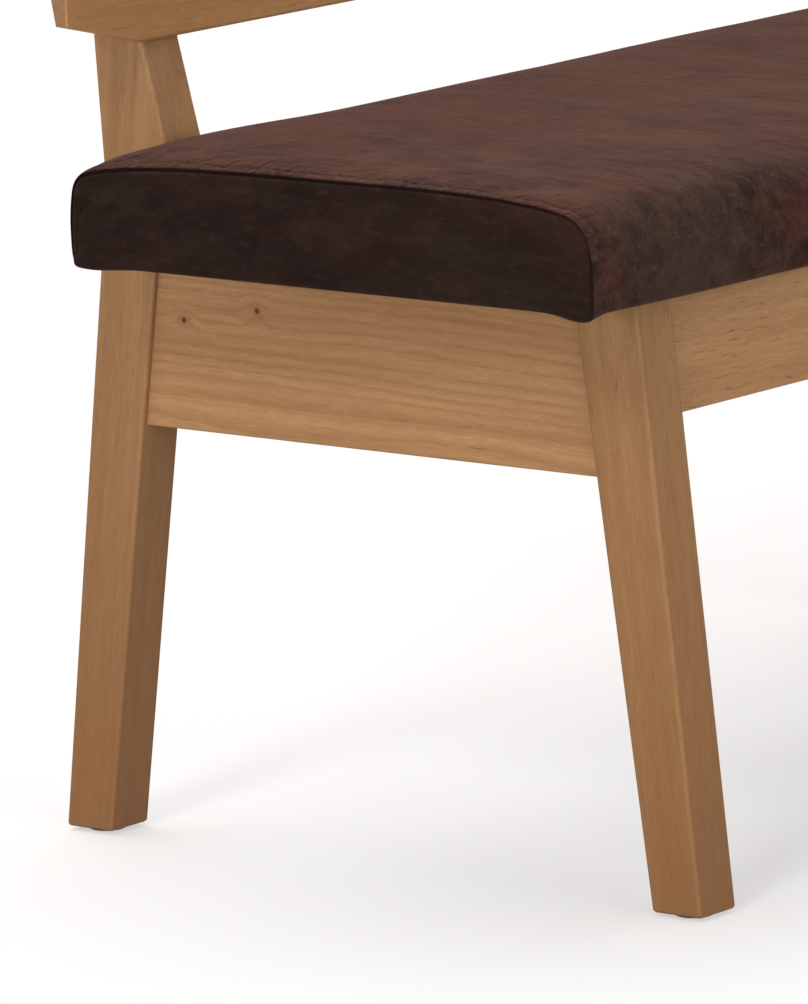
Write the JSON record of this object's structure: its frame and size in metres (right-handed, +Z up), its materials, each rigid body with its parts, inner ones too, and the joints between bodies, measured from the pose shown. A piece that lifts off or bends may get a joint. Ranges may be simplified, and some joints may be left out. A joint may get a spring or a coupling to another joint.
{
  "type": "corner bench",
  "caption": "L-shaped oak corner bench with tapered splayed legs, upholstered seats and a reclined, mitred backrest board.",
  "frame": {"origin": "on the floor, under the centre of the whole bench's box", "axes": "+X along the long wing from its open end to the corner, +Y to the long wing's back, +Z up"},
  "size_m": [2.1468, 1.4998, 0.863],
  "materials": {
    "oak": "oiled natural oak, satin",
    "beech": "plain sanded beech",
    "plywood": "bare birch plywood",
    "foam": "cut seat foam",
    "cover": "dark brown mottled nubuck-like microfibre",
    "lining": "black felted underside lining",
    "steel": "zinc plated",
    "bracket_steel": "galvanised",
    "glide": "dark brown plastic"
  },
  "bodies": {
    "root": {"long_end_front_leg": "oak", "long_end_back_leg": "oak", "long_end_apron": "oak", "long_middle_front_leg": "oak", "long_middle_back_leg": "oak", "long_middle_apron": "oak", "long_corner_front_leg": "oak", "long_corner_back_leg": "oak", "long_corner_apron": "oak", "long_front_apron_outer": "oak", "long_front_apron_inner": "oak", "long_rear_rail_outer": "oak", "long_rear_rail_inner": "oak", "short_end_front_leg": "oak", "short_end_back_leg": "oak", "short_corner_back_leg": "oak", "short_end_apron": "oak", "short_front_apron": "oak", "short_rear_rail": "oak", "short_cross_rail": "oak", "corner_tie_rail": "oak", "long_backrest": "oak", "short_backrest": "oak", "seat_blocks": "beech", "mitre_dowels": "beech", "long_seat_board": "plywood", "short_seat_board": "plywood", "long_seat_foam": "foam", "short_seat_foam": "foam", "long_seat_cover": "cover", "short_seat_cover": "cover", "long_seat_lining": "lining", "short_seat_lining": "lining", "seat_screws": "steel", "backrest_screws": "steel", "bracket_screws": "steel", "apron_bracket": "bracket_steel", "glides": "glide"}
  },
  "joints": []
}
